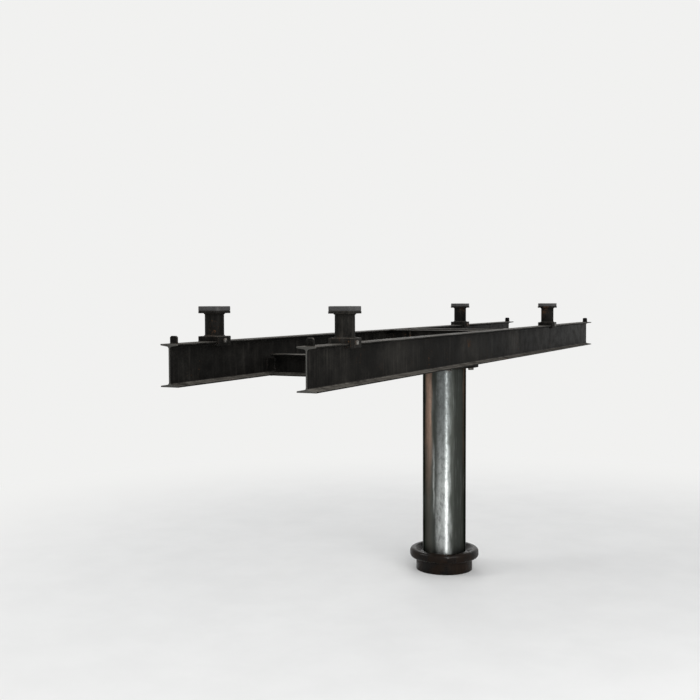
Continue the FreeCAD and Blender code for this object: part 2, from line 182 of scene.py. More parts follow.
def skin(points, closed_rows=False, capped=False):
    """A surface over a grid of points, whose rows are closed loops.

    Each quad joins two neighbours in a row and the same two in the next. The last row may join the first,
    or both may be capped by a face.
    """
    rows, columns, _ = points.shape
    number = np.arange(rows * columns).reshape(rows, columns)
    number = np.hstack([number, number[:, :1]])
    if closed_rows:
        number = np.vstack([number, number[:1]])
    faces = quads(number)
    if capped:
        faces.append(number[0, columns - 1::-1].tolist())
        faces.append(number[-1, :columns].tolist())
    return points.reshape(-1, 3), faces


def quads(number):
    """The four-cornered faces of a grid of numbered points."""
    corners = [number[:-1, :-1], number[:-1, 1:], number[1:, 1:], number[1:, :-1]]
    return np.stack(corners, axis=-1).reshape(-1, 4).tolist()


def full_turn(steps):
    """Evenly spaced angles of one turn."""
    return np.arange(steps) / steps * TAU


def quarter_round(edge, steps=4):
    """Insets and drops of a quarter round: edge times 1 - sin t, and edge times 1 - cos t."""
    turn = np.linspace(0, np.pi / 2, steps)
    return edge * (1 - np.sin(turn)), edge * (1 - np.cos(turn))


def there_and_back(first, second):
    """The numbers of one row, and then those of another backwards, as a column."""
    return np.concatenate([first, second[::-1]])[:, None]


def placed(across, along, height):
    """Points from their places across, along and up."""
    return np.stack(np.broadcast_arrays(across, along, height), axis=-1)


def around(distance, angles, height):
    """Points from their distances from Z, their angles round it and their heights."""
    return placed(distance * np.cos(angles), distance * np.sin(angles), height)


def outline(corners, radii, inset=0.0, steps=6):
    """A closed outline, anticlockwise, with an arc at each corner, moved inwards by an inset.

    At a corner with inner angle a, the arc of radius r lies about a centre r / sin(a / 2) away on the
    bisector and turns by pi - a. An inset i moves an outward corner i / sin(a / 2) along its bisector and
    takes i off its radius; an inward corner moves the other way and its radius grows. Inside, a point is
    a complex number, across plus i times up.
    """
    corners = np.asarray(corners, float) @ (1, 1j)
    before, after = np.roll(corners, 1) - corners, np.roll(corners, -1) - corners
    before, after = before / abs(before), after / abs(after)
    angle = np.angle(before / after)
    outward, half = np.sign(angle), abs(angle) / 2
    bisector = (before + after) / (2 * np.cos(half))
    radius = np.asarray(radii) - outward * inset
    corners = corners + bisector * outward * inset / np.sin(half)
    centre = corners + bisector * radius / np.sin(half)
    spoke = corners + before * radius / np.tan(half) - centre
    turn = np.linspace(0, outward * (np.pi - 2 * half), steps)
    points = (centre + spoke * np.exp(1j * turn)).T.ravel()
    return np.column_stack([points.real, points.imag])


def revolved(corners, radii, steps=192):
    """A ring: a rounded outline of distances from the axis and heights, turned about Z."""
    distance, height = outline(corners, radii).T
    return skin(around(distance, full_turn(steps)[:, None], height), closed_rows=True)


def extruded(corners, radii, middle, reach, across, up, edge, steps=6):
    """A bar: a rounded outline carried in a straight line that reaches both ways from its middle.

    At each end the outline is inset along a quarter round.
    """
    inset, travel = quarter_round(edge)
    share = travel / np.linalg.norm(reach)
    shapes = np.array([outline(corners, radii, step, steps) for step in (*inset, *inset[::-1])])
    stations = middle + reach * there_and_back(share - 1, 1 - share)
    return skin(stations[:, None] + shapes[..., :1] * across + shapes[..., 1:] * up, capped=True)


def round_bar(box, edge, steps=96):
    """An upright round bar that fills a box, with a quarter round at either end."""
    inset, rise = quarter_round(edge)
    distance = box.size[0] / 2 - there_and_back(inset, inset)
    height = there_and_back(box.low[2] + rise, box.high[2] - rise)
    return skin(around(distance, full_turn(steps), height) + box.middle * (1, 1, 0), capped=True)


def bead(path, first_leg, second_leg, closed=False, arc=np.pi / 2):
    """A weld bead along a path, between two legs.

    At angle t of its round a point is the path's, plus the first leg times cos t, plus the second times
    sin t. Both legs swell by a cosine of the way along, which lags towards the middle of the round, so
    that the ripples are bowed, and by a slow uneven wave. An open bead thins to a round end.
    """
    bow, ripple, unevenness, root_depth = 0.35, 0.07, 0.04, 0.06
    first_leg = np.broadcast_to(first_leg, path.shape)[:, None]
    second_leg = np.broadcast_to(second_leg, path.shape)[:, None]
    leg = np.linalg.norm(first_leg[0, 0])
    steps = np.linalg.norm(np.diff(path, axis=0), axis=1)
    way = np.concatenate([[0], np.cumsum(steps)])[:, None]
    total = way[-1, 0] + (steps[0] if closed else 0)
    ripples = max(1, round(total / sizes().weld_pitch))
    angle = np.linspace(0, arc, 7)
    lag = bow * np.sin(angle * np.pi / arc)
    swell = 1 - ripple + ripple * np.cos(TAU * (way / total * ripples - lag))
    wave = np.sin(TAU * 3 * way / total) * np.sin(TAU * 7 * way / total + 1)
    swell = swell * (1 - unevenness + unevenness * wave)
    if not closed:
        from_end = np.clip(np.minimum(way, total - way) / leg, 0.02, 1)
        swell = swell * np.sqrt(1 - (1 - from_end) ** 2)
    round_part = np.cos(angle)[:, None] * first_leg + np.sin(angle)[:, None] * second_leg
    points = path[:, None] + swell[..., None] * round_part
    root = path[:, None] - root_depth * (second_leg + (first_leg if arc < np.pi else 0))
    return skin(np.concatenate([points, root], axis=1), closed_rows=closed, capped=not closed)


def straight_bead(middle, reach, first_leg, second_leg, arc=np.pi / 2):
    """A straight bead that reaches both ways from its middle, with four points to a ripple."""
    count = max(3, int(np.ceil(8 * np.linalg.norm(reach) / sizes().weld_pitch)) + 1)
    return bead(np.linspace(middle - reach, middle + reach, count), first_leg, second_leg, arc=arc)


def ring_bead(centre, radius, leg, upwards):
    """A bead round an upright tube: one leg points away from the axis, the other up or down the tube."""
    spokes = around(1.0, full_turn(int(TAU * radius / sizes().weld_pitch) * 4), 0.0)
    return bead(centre + radius * spokes, spokes * leg, UP * leg * upwards, closed=True)


def stood(surface, foot, axis):
    """A surface made round Z, moved so that it stands on a foot and points along an axis."""
    points, faces = surface
    turn = np.array(Vector((0, 0, 1)).rotation_difference(Vector(axis)).to_matrix())
    return points @ turn.T + foot, faces


def hexagon_head(width, height, slope=np.radians(30)):
    """A six-sided head on Z.

    At angle t its side is half the width over the cosine of t's distance from the nearest flat's middle.
    A cone that starts just inside the flats at the top cuts the six corners.
    """
    angles = full_turn(72)
    side = width / 2 / np.cos((angles + np.pi / 6) % (np.pi / 3) - np.pi / 6)
    top_circle = 0.475 * width
    cut = (side.max() - top_circle) * np.tan(slope)
    heights = np.concatenate([[0], height - cut * np.linspace(1, 0, 5)])[:, None]
    radius = np.minimum(side, top_circle + (height - heights) / np.tan(slope))
    return skin(around(radius, angles, heights), capped=True)


def threaded_shank(radius, plain, threaded, pitch):
    """A shank on Z, plain and then threaded.

    At height z and angle t the thread takes a raised cosine of z / pitch - t / full turn off the radius,
    which winds as a helix. It fades in above the plain stretch and out at the rounded tip.
    """
    depth = 0.6 * pitch
    angles = full_turn(30)
    heights = np.concatenate([[0], np.linspace(plain, plain + threaded, int(threaded / pitch * 6))])[:, None]
    fade = np.clip((heights - plain) / pitch, 0, 1)
    groove = 0.5 - 0.5 * np.cos(TAU * (heights / pitch - angles / TAU))
    tip = depth * np.clip(1 - (plain + threaded - heights) / pitch, 0, 1)
    return skin(around(radius - np.maximum(depth * fade * groove, tip), angles, heights), capped=True)


def studded_block(box, corner, edge):
    """The surfaces of a rubber block with round corners, round edges and a top of square studs.

    The top is a grid. Its half depth at x is a rounded square's: full, and in the corners the round's own.
    It drops in grooves where a cosine across or along is under a threshold, and they fade out towards the
    rim. The loop round the grid goes down over a quarter round, straight down and in under another, and
    the grid again closes the foot.
    """
    half = box.size[0] / 2
    straight = half - corner
    pitch = sizes().stud_pitch
    groove_start, groove_slope = -0.45, 0.35
    fan = np.sin(np.linspace(0, np.pi / 2, 9))[1:]
    even = np.linspace(-1, 1, 73)

    def grid(inset):
        """Places across and along of the whole grid, close together in the corners' rounds."""
        outer = straight + (corner - inset) * fan
        across = np.concatenate([-outer[::-1], straight * even, outer])[:, None]
        over = np.clip(np.abs(across) - straight, 0, corner - inset)
        reach = straight + np.sqrt(np.maximum((corner - inset) ** 2 - over ** 2, 0))
        return np.broadcast_to(across, (len(across), len(even))), reach * even

    def loop(field):
        """The values round the edge of a grid, anticlockwise."""
        return np.concatenate([field[:-1, 0], field[-1, :-1], field[:0:-1, -1], field[0, :0:-1]])

    across, along = grid(edge)
    rim = half - edge - np.maximum(np.abs(across), np.abs(along))
    wave = np.minimum(np.cos(TAU * across / pitch), np.cos(TAU * along / pitch))
    groove = np.clip(rim / pitch, 0, 1) * np.clip((groove_start - wave) / groove_slope, 0, 1)
    top = box.high[2] - sizes().groove_depth * groove
    insets, drops = quarter_round(edge, steps=6)
    levels = there_and_back(box.high[2] - drops, box.low[2] + drops)
    insets = np.concatenate([insets, insets[::-1]])
    rings = [placed(*map(loop, grid(inset)), level) for inset, level in zip(insets, levels)]
    rings[0][:, 2] = loop(top)
    faces = quads(np.arange(across.size).reshape(across.shape).T)
    surfaces = [
        (placed(across, along, top).reshape(-1, 3), faces),
        skin(np.array(rings)),
        (placed(across, along, box.low[2]).reshape(-1, 3), [face[::-1] for face in faces]),
    ]
    return [(points + box.middle * (1, 1, 0), faces) for points, faces in surfaces]


def new_object(name, data):
    """An object in the scene, with its data."""
    thing = bpy.data.objects.new(name, data)
    bpy.context.scene.collection.objects.link(thing)
    return thing


def make_piece(name, surfaces, finish, body, replaces=()):
    """A piece of the given surfaces, in place, with its finish, riding on a body."""
    points = np.concatenate([part for part, _ in surfaces])
    starts = np.cumsum([0] + [len(part) for part, _ in surfaces])
    faces = [[corner + start for corner in face]
             for (_, part), start in zip(surfaces, starts) for face in part]
    mesh = bpy.data.meshes.new(name)
    mesh.from_pydata(points.tolist(), [], faces)
    tidy = bmesh.new()
    tidy.from_mesh(mesh)
    bmesh.ops.remove_doubles(tidy, verts=tidy.verts, dist=1e-6)
    bmesh.ops.recalc_face_normals(tidy, faces=tidy.faces)
    tidy.to_mesh(mesh)
    tidy.free()
    mesh.shade_smooth()
    mesh.set_sharp_from_angle(angle=np.radians(35))
    mesh.materials.append(bpy.data.materials[finish])
    piece = new_object(name, mesh)
    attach(piece, body)
    if replaces:
        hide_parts(*replaces)


def make_frame_piece(name, surfaces, finish="Frame paint", replaces=()):
    """A piece that is fixed to the frame."""
    make_piece(name, surfaces, finish, "ram_and_frame", replaces)


def refinish(finish, *nodes):
    """Gives carried-over nodes their finish."""
    for node in nodes:
        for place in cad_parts[node].material_slots:
            place.material = bpy.data.materials[finish]


# Shader trees

class Tree:
    """A node tree under construction, and the place that its patterns follow."""

    def __init__(self, tree):
        """Starts from an empty node tree."""
        self.tree = tree
        self.place = None

    def add(self, kind, inputs=(), **settings):
        """A node with its settings made and its inputs set to values or joined to sockets."""
        node = self.tree.nodes.new(kind)
        for word, value in settings.items():
            setattr(node, word, value)
        for word, value in dict(inputs).items():
            self.feed(node.inputs[word], value)
        return node

    def feed(self, socket, value):
        """Joins a socket to another, or sets its value, for which a word names a colour in use."""
        if isinstance(value, bpy.types.NodeSocket):
            self.tree.links.new(value, socket)
        else:
            socket.default_value = shade(value) if isinstance(value, str) else value

    def maths(self, operation, *values):
        """The result of a maths node, kept from 0 to 1."""
        node = self.add("ShaderNodeMath", dict(enumerate(values)), operation=operation, use_clamp=True)
        return node.outputs[0]

    def times(self, *values):
        """The product of values."""
        return reduce(partial(self.maths, "MULTIPLY"), values)

    def most(self, *values):
        """The largest of values."""
        return reduce(partial(self.maths, "MAXIMUM"), values)

    def less(self, first, second):
        """A value less another."""
        return self.maths("SUBTRACT", first, second)

    def weighed(self, *pairs):
        """The sum of two values, each times its weight."""
        return self.maths("ADD", *(self.times(value, weight) for value, weight in pairs))

    def vector(self, operation, *values):
        """The result of a vector maths node, a number for a dot product or a length."""
        node = self.add("ShaderNodeVectorMath", dict(enumerate(values)), operation=operation)
        return node.outputs["Value" if operation in ("DOT_PRODUCT", "LENGTH") else "Vector"]

    def part(self, vector, axis):
        """One coordinate of a vector."""
        return self.add("ShaderNodeSeparateXYZ", {0: vector}).outputs[axis]

    def noise(self, scale, detail=4, roughness=0.55, stretch=None):
        """Fractal noise over the tree's place, which may first be multiplied axis by axis."""
        place = self.vector("MULTIPLY", self.place, stretch) if stretch else self.place
        inputs = {"Vector": place, "Scale": scale, "Detail": detail, "Roughness": roughness}
        return self.add("ShaderNodeTexNoise", inputs).outputs[0]

    def ramp(self, value, low, high):
        """A smooth step from 0 at low to 1 at high."""
        inputs = {"Value": value, "From Min": low, "From Max": high}
        return self.add("ShaderNodeMapRange", inputs, interpolation_type="SMOOTHSTEP").outputs[0]

    def patches(self, low, high, scale, **settings):
        """Patches: noise, from 0 where it is low to 1 where it is high."""
        return self.ramp(self.noise(scale, **settings), low, high)

    def between(self, factor, first, second):
        """A number from first to second."""
        inputs = {"Value": factor, "To Min": first, "To Max": second}
        return self.add("ShaderNodeMapRange", inputs).outputs[0]

    def mix(self, factor, first, second):
        """A blend of two colours."""
        node = self.add("ShaderNodeMix", {0: factor, 6: first, 7: second}, data_type="RGBA")
        return node.outputs[2]

    def group(self, name, **inputs):
        """The outputs of a shared group."""
        inputs = {"Place": self.place, **inputs}
        return self.add("ShaderNodeGroup", inputs, node_tree=bpy.data.node_groups[name]).outputs

    def finish(self, inputs, height, distance, strength, **bump):
        """The Principled shader with its inputs, a bump of some height for its normal, and the output."""
        bump.update({"Height": height, "Distance": distance, "Strength": strength})
        normal = self.add("ShaderNodeBump", bump).outputs[0]
        shader = self.add("ShaderNodeBsdfPrincipled", {**inputs, "Normal": normal})
        self.add("ShaderNodeOutputMaterial", {"Surface": shader.outputs[0]})


def new_group(name, inputs, outputs):
    """An empty shader group that is given a place, with its tree, its inputs and its outputs."""
    group = bpy.data.node_groups.new(name, "ShaderNodeTree")
    for way, sockets in (("INPUT", {"Place": "Vector", **inputs}), ("OUTPUT", outputs)):
        for word, kind in sockets.items():
            group.interface.new_socket(name=word, in_out=way, socket_type=f"NodeSocket{kind}")
    tree = Tree(group)
    given = tree.add("NodeGroupInput").outputs
    tree.place = given["Place"]
    return tree, given, tree.add("NodeGroupOutput").inputs


def make_edge_wear():
    """Edge wear: where the normal over a small radius differs from the surface's own, broken up by noise."""
    tree, given, result = new_group("Edge wear", {"Radius": "Float", "Amount": "Float"},
                                    {"Mask": "Float", "Normal": "Vector"})
    rounded = tree.add("ShaderNodeBevel", {"Radius": given["Radius"]}, samples=6).outputs[0]
    own = tree.add("ShaderNodeNewGeometry").outputs["Normal"]
    edge = tree.ramp(tree.less(1, tree.vector("DOT_PRODUCT", rounded, own)), 0.01, 0.16)
    worn = tree.ramp(tree.times(tree.noise(38, detail=6, roughness=0.65), given["Amount"]), 0.22, 0.4)
    tree.feed(result["Mask"], tree.times(edge, worn))
    tree.feed(result["Normal"], rounded)


def make_settled_dust():
    """Settled dust: faces that look up carry it in soft patches, and a thin film lies everywhere."""
    tree, given, result = new_group("Settled dust", {"Amount": "Float", "Film": "Float"}, {"Mask": "Float"})
    upwards = tree.ramp(tree.part(tree.add("ShaderNodeNewGeometry").outputs["Normal"], "Z"), 0.35, 0.95)
    patches = tree.patches(0.18, 0.72, scale=14, detail=8, roughness=0.72)
    specks = tree.patches(0.42, 0.62, scale=260, detail=2)
    lying, film = tree.times(upwards, given["Amount"], patches), tree.times(patches, specks, given["Film"])
    tree.feed(result["Mask"], tree.most(lying, film))


def make_rust():
    """Rust: broad and fine noise above a threshold that a bias lowers, with pitted height."""
    tree, given, result = new_group(
        "Rust", {"Cover": "Float", "Bias": "Float", "Dark": "Color", "Light": "Color"},
        {"Mask": "Float", "Colour": "Color", "Height": "Float"})
    broad = tree.noise(7, detail=6, roughness=0.6)
    fine = tree.noise(95, detail=5, roughness=0.7)
    raised = tree.maths("ADD", tree.weighed((broad, 0.6), (fine, 0.4)), tree.times(given["Bias"], 0.3))
    threshold = tree.less(0.62, tree.times(given["Cover"], 0.3))
    mask = tree.ramp(tree.less(raised, threshold), 0, 0.07)
    tree.feed(result["Mask"], mask)
    tree.feed(result["Colour"], tree.mix(tree.ramp(fine, 0.38, 0.66), given["Dark"], given["Light"]))
    tree.feed(result["Height"], tree.times(mask, fine))


def make_runs():
    """Runs: noise drawn out along Z, for what water and oil leave as they run down."""
    tree, given, result = new_group("Runs", {"Fineness": "Float"}, {"Mask": "Float", "Broad": "Float"})
    drawn = (1, 1, 0.045)
    fine = tree.patches(0.46, 0.72, scale=given["Fineness"], detail=5, roughness=0.6, stretch=drawn)
    tree.feed(result["Mask"], tree.times(fine, tree.patches(0.35, 0.65, scale=5, detail=3)))
    tree.feed(result["Broad"], tree.noise(9, detail=3, stretch=drawn))


def make_grain():
    """Grain: the low waves of brushed paint and the pits of hot-rolled steel under it, as a height."""
    tree, _, result = new_group("Grain", {}, {"Height": "Float"})
    waves = tree.noise(55, detail=3)
    pits = tree.patches(0.25, 0.55, scale=340, roughness=0.7)
    tree.feed(result["Height"], tree.weighed((waves, 0.6), (pits, 0.4)))


def new_finish(name):
    """The empty tree of a new material, which follows Object coordinates."""
    material = bpy.data.materials.new(name)
    material.use_nodes = True
    material.node_tree.nodes.clear()
    tree = Tree(material.node_tree)
    tree.place = tree.add("ShaderNodeTexCoord").outputs["Object"]
    return tree


def make_painted_steel(name, wear, rust, dust, film=0.035, edge=0.0025, beam=None):
    """Old black paint on steel: chalked in patches, rubbed bare at edges, with rust, runs and dust.

    Where a beam is given, the paint is thin and grey on its sawn ends, and the shoes that slide on its top
    flange have scratched it along Y.
    """
    tree = new_finish(name)
    edges = tree.group("Edge wear", Radius=edge, Amount=wear)
    rusty = tree.group("Rust", Cover=rust, Bias=edges["Mask"], Dark="dark_rust", Light="light_rust")
    runs = tree.group("Runs", Fineness=70)["Mask"]
    settled = tree.group("Settled dust", Amount=dust, Film=film)["Mask"]
    rubbed = edges["Mask"]
    chalk = tree.patches(0.4, 0.75, scale=13, detail=7, roughness=0.7)
    spray = tree.patches(0.46, 0.72, scale=2.4, detail=8, roughness=0.68)
    paint = tree.mix(chalk, "paint", "faded")
    paint = tree.mix(tree.weighed((runs, 0.07), (spray, 0.055)), paint, "dust")
    if beam:
        end, top = beam.high[1:]
        from_middle = tree.part(tree.vector("ABSOLUTE", tree.place), "Y")
        sawn = tree.times(tree.ramp(from_middle, end - 0.003, end - 0.001), tree.between(chalk, 0.9, 0.45))
        paint = tree.mix(sawn, paint, "worn_paint")
        swept = tree.times(
            tree.ramp(tree.part(tree.place, "Z"), top - 0.003, top - 0.001),
            tree.ramp(from_middle, end - 0.03, end - 0.12),
            tree.patches(0.3, 0.6, scale=9, stretch=(1, 0.3, 1)))
        drawn = (1, 0.02, 1)
        scratches = tree.patches(0.5, 0.66, scale=150, detail=5, roughness=0.7, stretch=drawn)
        settled = tree.times(settled, tree.between(swept, 1, 0.5))
        rubbed = tree.most(rubbed, tree.times(swept, scratches, 0.85))
    bare = tree.mix(rubbed, paint, "bare_steel")
    rusted = tree.mix(rusty["Mask"], bare, rusty["Colour"])
    dull = tree.most(rusty["Mask"], settled)
    height = tree.weighed((tree.group("Grain")["Height"], 0.5), (rusty["Height"], 0.5))
    tree.finish({
        "Base Color": tree.mix(settled, rusted, "dust"),
        "Roughness": tree.maths("ADD", tree.between(chalk, 0.46, 0.66), tree.times(dull, 0.4)),
        "Metallic": tree.times(rubbed, tree.less(0.8, dull)),
        "Specular IOR Level": 0.015,
    }, height, 0.0008, 0.55, Normal=edges["Normal"])


def make_ram_steel():
    """Ground steel: fine marks round the ram draw its highlights out upright, under films of oil.

    Its colour is painted reflection and shade: a dark colour covers most of it in place of mirrored dark
    surroundings, bright steel shows in upright bands in place of a bright reflection, a brown colour lies in
    others in place of a brown reflection, and the steel darkens upwards as painted shade. A band lies where
    the sine of the angle from its middle is under its half width, so each has a twin on the other side. A
    slow noise makes the bands waver, and a finer one frays them.
    """
    tree = new_finish("Ram steel")
    runs = tree.group("Runs", Fineness=120)
    swayed = tree.vector("ADD", tree.place, tree.vector("MULTIPLY", runs["Broad"], (0.02, 0.02, 0)))
    fray = 0.36
    frayed = tree.times(tree.noise(40, detail=5, stretch=(1, 1, 0.15)), fray)

    def band(middle, half_width, soft):
        """A mask of an upright band, from its middle's angle and sizes as sines."""
        angle = np.radians(middle)
        across = (np.cos(angle) / RAM_RADIUS, np.sin(angle) / RAM_RADIUS, 0)
        offset = tree.maths("ABSOLUTE", tree.vector("DOT_PRODUCT", swayed, across))
        edge = half_width + fray / 2
        return tree.ramp(tree.maths("ADD", offset, frayed), edge + soft, edge - soft)

    height = tree.part(tree.place, "Z")
    # Painted shade: this ramp darkens the steel's colour from the foot upwards, and also makes it a little
    # rougher.
    dull = tree.ramp(height, 0.3, 1)
    speckle = tree.patches(0.4, 0.66, scale=70, detail=5, roughness=0.65, stretch=(1, 1, 0.6))
    patches = tree.patches(0.42, 0.68, scale=24, stretch=(1, 1, 0.35))
    # Painted reflection: a thin lighter streak at mid height, where the dark colour is cleared.
    rubbed = tree.times(band(-5, 0.03, 0.07), tree.ramp(height, 0.3, 0.5), tree.ramp(height, 0.85, 0.6), 0.8)
    # Painted reflection: bright steel shows through the dark colour in two upright bands, in place of a
    # bright reflection; runs of oil clear it too.
    clear = tree.most(band(24, 0.27, 0.15), band(112, 0.16, 0.16), rubbed)
    clear = tree.times(clear, tree.less(1, tree.weighed((speckle, 0.3), (patches, 0.34))))
    clear = tree.most(clear, tree.times(runs["Mask"], tree.between(dull, 0.1, 0.3)))
    # Painted reflection and shade: the dark colour, the bright bands and the darker upper steel together.
    painted_reflections_and_shade = tree.mix(clear, "painted_dark_reflection", tree.mix(dull, "ram_steel", "painted_shade_steel"))
    # Painted reflection: brown in two upright bands, in place of brown surroundings mirrored in the steel.
    brown = tree.most(tree.times(band(-24, 0.17, 0.12), tree.between(dull, 0.06, 0.95)),
                      tree.times(band(88, 0.06, 0.08), tree.between(dull, 0, 0.3)))
    brown = tree.times(brown, tree.between(speckle, 1, 0.75))
    dirt = tree.weighed((speckle, 0.08), (runs["Mask"], 0.06))
    marks = tree.noise(14, stretch=(1, 1, 70))
    tree.finish({
        "Base Color": tree.mix(brown, painted_reflections_and_shade, "painted_brown_reflection"),
        "Metallic": 1,
        "Roughness": tree.maths("ADD", tree.between(dull, 0.31, 0.36), dirt),
        "Specular Tint": (0.25, 0.25, 0.25, 1),
        "Anisotropic": 0.93,
        "Anisotropic Rotation": 0.25,
        "Tangent": tree.add("ShaderNodeTangent", direction_type="RADIAL", axis="Z").outputs[0],
    }, tree.weighed((marks, 0.6), (speckle, 0.4)), 0.0003, 0.3)


def make_greasy_collar():
    """Dark paint under years of grease: glossy where wet, brown and matt where dirt has stuck."""
    tree = new_finish("Greasy collar")
    edges = tree.group("Edge wear", Radius=0.004, Amount=0.5)
    rusty = tree.group("Rust", Cover=0.2, Bias=edges["Mask"], Dark="dark_rust", Light="grease")
    runs = tree.group("Runs", Fineness=60)["Mask"]
    dirt = tree.patches(0.38, 0.62, scale=11, detail=6, roughness=0.65)
    greasy = tree.mix(tree.weighed((dirt, 0.6), (runs, 0.5)), "collar", "grease")
    lumps = tree.noise(42, detail=5, roughness=0.6)
    tree.finish({
        "Base Color": tree.mix(rusty["Mask"], greasy, rusty["Colour"]),
        "Roughness": tree.between(tree.most(dirt, rusty["Mask"]), 0.16, 0.42),
        "Specular IOR Level": 0.07,
        "Coat Weight": tree.between(dirt, 0.13, 0),
        "Coat Roughness": 0.08,
    }, tree.weighed((lumps, 0.6), (rusty["Height"], 0.4)), 0.0022, 0.5, Normal=edges["Normal"])


def make_bronze():
    """Turned bronze, dulled by oil."""
    tree = new_finish("Bronze")
    stain = tree.patches(0.4, 0.7, scale=30, detail=5)
    tree.finish({
        "Base Color": tree.mix(stain, "bronze", "grease"),
        "Metallic": 1,
        "Roughness": tree.between(stain, 0.28, 0.5),
    }, tree.noise(12, stretch=(1, 1, 60)), 0.0002, 0.3)


def make_rubber(name, dust, oil=0):
    """Black rubber: greyed where it has bloomed, with dirt in its texture, and a coat of oil."""
    tree = new_finish(name)
    edges = tree.group("Edge wear", Radius=0.002, Amount=0.55)
    settled = tree.group("Settled dust", Amount=dust, Film=0.2)["Mask"]
    bloom = tree.patches(0.35, 0.7, scale=24, detail=6)
    black = tree.mix(tree.times(bloom, 0.5), "rubber", "faded")
    worn = tree.mix(tree.times(edges["Mask"], 0.5), black, "faded")
    tree.finish({
        "Base Color": tree.mix(settled, worn, "dust"),
        "Roughness": tree.between(bloom, 0.58, 0.78),
        "Coat Weight": oil,
        "Coat Roughness": 0.12,
    }, tree.noise(420, detail=3), 0.0004, 0.5, Normal=edges["Normal"])


def make_plated_steel():
    """Zinc plating gone dull, with rust at its edges."""
    tree = new_finish("Plated steel")
    edges = tree.group("Edge wear", Radius=0.0012, Amount=0.75)
    rusty = tree.group("Rust", Cover=0.42, Bias=edges["Mask"], Dark="dark_rust", Light="light_rust")
    stain = tree.patches(0.35, 0.7, scale=80, detail=5)
    plating = tree.mix(stain, "zinc", "faded")
    tree.finish({
        "Base Color": tree.mix(rusty["Mask"], plating, rusty["Colour"]),
        "Metallic": tree.between(rusty["Mask"], 0.85, 0.05),
        "Roughness": tree.between(tree.most(stain, rusty["Mask"]), 0.38, 0.75),
    }, tree.noise(300), 0.0003, 0.4, Normal=edges["Normal"])


# Operators

class LiftOperator(bpy.types.Operator):
    """What all operators share."""

    bl_options = {"REGISTER", "UNDO"}


class LIFT_OT_finishes(LiftOperator):
    """Make the shared shader groups and the finishes"""

    bl_idname = "wash_lift.finishes"
    bl_label = "Finishes"

    def execute(self, context):
        """Groups first, because the finishes use them."""
        for make_group in (make_edge_wear, make_settled_dust, make_rust, make_runs, make_grain):
            make_group()
        make_painted_steel("Frame paint", wear=0.66, rust=0.07, dust=0.72)
        make_painted_steel("Long beam paint", wear=0.66, rust=0.07, dust=0.72, beam=LONG_BEAM)
        make_painted_steel("Weld paint", wear=0.66, rust=0.16, dust=0.3, edge=0.0015)
        make_painted_steel("Pad paint", wear=0.7, rust=0.1, dust=0.6)
        make_ram_steel()
        make_greasy_collar()
        make_bronze()
        make_rubber("Pad rubber", dust=0.5)
        make_rubber("Wiper rubber", dust=0.1, oil=0.9)
        make_plated_steel()
        return {"FINISHED"}


class LIFT_OT_collar(LiftOperator):
    """Make the gland ring and its wiper, and finish the neck and the bush"""

    bl_idname = "wash_lift.collar"
    bl_label = "Collar"

    wiper_body_height = 0.014
    wiper_body_gap = 0.0025
    wiper_seat_gap = 0.0001
    wiper_shoulder = 0.005
    lip_thickness = 0.0012
    lip_gap = 0.0002

    def execute(self, context):
        """The ring's rim is round above and below, and its top slopes down to the wiper."""
        ring, wiper = Box("gland_ring"), Box("wiper_ring")
        foot, top = ring.low[2], ring.high[2]
        bore, rim = wiper.high[0], ring.high[0]
        casting = [(bore, foot), (rim, foot), (rim, top), (bore + sizes().dish_width, top),
                   (bore, top - sizes().dish_depth)]
        casting_radii = [0.0005, sizes().rim_round, sizes().rim_round, 0.006, 0.001]
        make_piece("gland_casting", [revolved(casting, casting_radii)], "Greasy collar", "collar",
                   ["gland_ring"])
        seat, lip_top = wiper.low[2], wiper.high[2]
        body_top = seat + self.wiper_body_height
        inside, outside = RAM_RADIUS + self.wiper_body_gap, bore - self.wiper_seat_gap
        lip = RAM_RADIUS + self.lip_gap
        lips = [(inside, seat), (outside, seat), (outside, body_top - 0.001),
                (bore - self.wiper_shoulder, body_top + 0.001), (lip + self.lip_thickness, lip_top),
                (lip, lip_top - 0.001), (inside, body_top - 0.002)]
        lip_radii = [0.0005, 0.001, 0.0015, 0.002, 0.0003, 0.0003, 0.002]
        make_piece("wiper_lips", [revolved(lips, lip_radii)], "Wiper rubber", "collar",
                   ["wiper_ring"])
        refinish("Greasy collar", "cylinder_neck")
        refinish("Bronze", "guide_bush")
        return {"FINISHED"}


